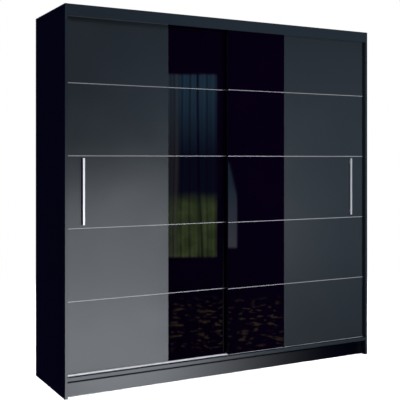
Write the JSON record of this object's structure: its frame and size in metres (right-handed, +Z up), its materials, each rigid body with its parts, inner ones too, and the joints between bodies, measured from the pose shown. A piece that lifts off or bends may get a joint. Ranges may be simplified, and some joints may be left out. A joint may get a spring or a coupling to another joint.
{
  "type": "sliding door wardrobe",
  "caption": "Tall wardrobe with sliding doors of matte board and black glass crossed by metal strips, bar handles, shelves and a hanging rail inside.",
  "frame": {"origin": "on the floor, in the middle of the wardrobe's footprint", "axes": "+Z up, +X to the right as seen from the front, +Y to the back"},
  "size_m": [2.05, 0.58, 2.136],
  "materials": {
    "carcass_board": "matte black laminated chipboard",
    "back_hardboard": "thin hardboard, dark lacquer on the inside and raw brown fibre behind",
    "nail_steel": "plain nail heads",
    "zinc_steel": "zinc plated",
    "chrome_tube": "polished",
    "track_aluminium": "satin anodised",
    "buffer_rubber": "matte",
    "door_core_board": "matte black laminated chipboard",
    "door_facing_board": "satin graphite laminate",
    "black_glass": "opaque back-painted black glass, polished",
    "strip_aluminium": "satin",
    "stiffener_aluminium": "mill finish",
    "handle_metal": "satin",
    "nylon": "natural nylon",
    "brush_pile": "dense black pile"
  },
  "bodies": {
    "carcass": {"back_panel_left": "back_hardboard", "back_panel_nails": "nail_steel", "back_panel_right": "back_hardboard", "bottom_panel": "carcass_board", "bottom_track": "track_aluminium", "cam_locks": "zinc_steel", "centre_partition": "carcass_board", "door_buffers": "buffer_rubber", "front_plinth": "carcass_board", "hanging_rail": "chrome_tube", "hat_shelf_left": "carcass_board", "hat_shelf_right": "carcass_board", "plinth_cross_rails": "carcass_board", "rail_socket_left": "chrome_tube", "rail_socket_right": "chrome_tube", "rear_plinth": "carcass_board", "shelf_1": "carcass_board", "shelf_2": "carcass_board", "shelf_3": "carcass_board", "shelf_4": "carcass_board", "shelf_pins": "zinc_steel", "side_panel_left": "carcass_board", "side_panel_right": "carcass_board", "top_fascia": "carcass_board", "top_panel": "carcass_board", "top_track": "track_aluminium", "track_screws": "zinc_steel", "wall_bracket_left": "zinc_steel", "wall_bracket_right": "zinc_steel", "wall_bracket_screws": "zinc_steel"},
    "left_door": {"left_door_board_panels": "door_facing_board", "left_door_bracket_screws": "zinc_steel", "left_door_core": "door_core_board", "left_door_dust_brush": "brush_pile", "left_door_glass_panels": "black_glass", "left_door_handle_bar": "handle_metal", "left_door_handle_posts": "handle_metal", "left_door_handle_screws": "zinc_steel", "left_door_roller_axles": "zinc_steel", "left_door_roller_brackets": "zinc_steel", "left_door_stiffeners": "stiffener_aluminium", "left_door_top_guides": "nylon", "left_door_trim_strips": "strip_aluminium"},
    "right_door": {"right_door_board_panels": "door_facing_board", "right_door_bracket_screws": "zinc_steel", "right_door_core": "door_core_board", "right_door_glass_panels": "black_glass", "right_door_handle_bar": "handle_metal", "right_door_handle_posts": "handle_metal", "right_door_handle_screws": "zinc_steel", "right_door_roller_axles": "zinc_steel", "right_door_roller_brackets": "zinc_steel", "right_door_stiffeners": "stiffener_aluminium", "right_door_top_guides": "nylon", "right_door_trim_strips": "strip_aluminium"},
    "left_door_wheel_outer": {"left_door_wheel_outer": "nylon"},
    "left_door_wheel_inner": {"left_door_wheel_inner": "nylon"},
    "right_door_wheel_outer": {"right_door_wheel_outer": "nylon"},
    "right_door_wheel_inner": {"right_door_wheel_inner": "nylon"}
  },
  "joints": [
    {"name": "left_door_slide", "type": "slide", "parent": "carcass", "child": "left_door", "axis": [1, 0, 0], "range_m": [0, 0.995]},
    {"name": "right_door_slide", "type": "slide", "parent": "carcass", "child": "right_door", "axis": [-1, 0, 0], "range_m": [0, 0.995]},
    {"name": "left_door_wheel_outer_spin", "type": "hinge", "parent": "left_door", "child": "left_door_wheel_outer", "pos_m": [-0.916, -0.214, 0.1318], "axis": [0, 1, 0], "continuous": true},
    {"name": "left_door_wheel_inner_spin", "type": "hinge", "parent": "left_door", "child": "left_door_wheel_inner", "pos_m": [-0.079, -0.214, 0.1318], "axis": [0, 1, 0], "continuous": true},
    {"name": "right_door_wheel_outer_spin", "type": "hinge", "parent": "right_door", "child": "right_door_wheel_outer", "pos_m": [0.916, -0.251, 0.1318], "axis": [0, 1, 0], "continuous": true},
    {"name": "right_door_wheel_inner_spin", "type": "hinge", "parent": "right_door", "child": "right_door_wheel_inner", "pos_m": [0.079, -0.251, 0.1318], "axis": [0, 1, 0], "continuous": true}
  ],
  "couplings": [
    {"joint": "left_door_wheel_outer_spin", "follows": "left_door_slide", "rad_per_m": 90.909},
    {"joint": "left_door_wheel_inner_spin", "follows": "left_door_slide", "rad_per_m": 90.909},
    {"joint": "right_door_wheel_outer_spin", "follows": "right_door_slide", "rad_per_m": -90.909},
    {"joint": "right_door_wheel_inner_spin", "follows": "right_door_slide", "rad_per_m": -90.909}
  ]
}
